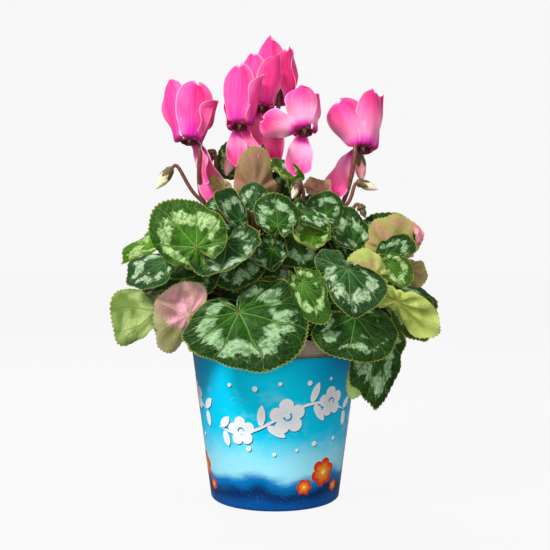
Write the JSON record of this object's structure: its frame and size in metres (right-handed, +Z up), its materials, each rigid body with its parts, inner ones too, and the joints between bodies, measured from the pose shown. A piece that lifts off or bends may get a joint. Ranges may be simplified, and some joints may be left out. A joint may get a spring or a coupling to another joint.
{
  "type": "potted cyclamen",
  "caption": "Flowering cyclamen with marbled leaves in a nursery pot, standing in a tapered printed cover pot.",
  "frame": {"origin": "centre of the cover pot's foot, on the surface that it stands on", "axes": "+Z up, the plant's best side faces -Y, +X to the right as seen from there"},
  "size_m": [0.2698, 0.2247, 0.3822],
  "materials": {
    "cover_pot": "glossy print on white",
    "nursery_pot": "matte",
    "soil": "loose and dull",
    "tuber": "corky",
    "leaf": "satin, marbled with silver",
    "leaf_underside": "matte",
    "stalk": "satin",
    "petal": "velvety",
    "bud": "satin"
  },
  "bodies": {
    "root": {"cover_pot": "cover_pot", "nursery_pot": "nursery_pot", "soil": "soil", "tuber": "tuber", "leaf_top_right_inner": "leaf", "leaf_top_olive": "leaf_underside", "leaf_top_plum": "leaf_underside", "leaf_top_right_low": "leaf", "leaf_top_curled": "leaf", "leaf_top_sliver": "leaf_underside", "leaf_top_small": "leaf", "leaf_right_plum": "leaf_underside", "leaf_right_low_green": "leaf", "leaf_right_olive": "leaf_underside", "leaf_left_pointed": "leaf", "leaf_middle_cup": "leaf", "leaf_right_small": "leaf", "leaf_right_bright": "leaf", "leaf_upper_left": "leaf", "leaf_left_blue": "leaf", "leaf_centre_ring": "leaf", "leaf_upper_right": "leaf", "leaf_left_crescent": "leaf", "leaf_left_pale": "leaf_underside", "leaf_right_lime": "leaf_underside", "leaf_upper_middle": "leaf", "leaf_right_hanging_under": "leaf_underside", "leaf_right_low_lime": "leaf_underside", "leaf_left_pink": "leaf_underside", "leaf_right_hanging": "leaf", "leaf_front_right": "leaf", "leaf_right_dark": "leaf", "leaf_centre_long": "leaf", "leaf_left_large": "leaf", "leaf_front_large": "leaf", "leaves_inner": "leaf", "leaves_back": "leaf", "flower_stalks": "stalk", "bloom_left": "petal", "bloom_centre_left": "petal", "bloom_centre": "petal", "bloom_top": "petal", "bloom_centre_right": "petal", "bloom_right": "petal", "bloom_low_right": "petal", "bud_left": "bud", "bud_top_left": "bud", "bud_pink_left": "bud", "bud_middle": "bud", "bud_right": "bud", "bud_salmon": "bud"}
  },
  "joints": []
}
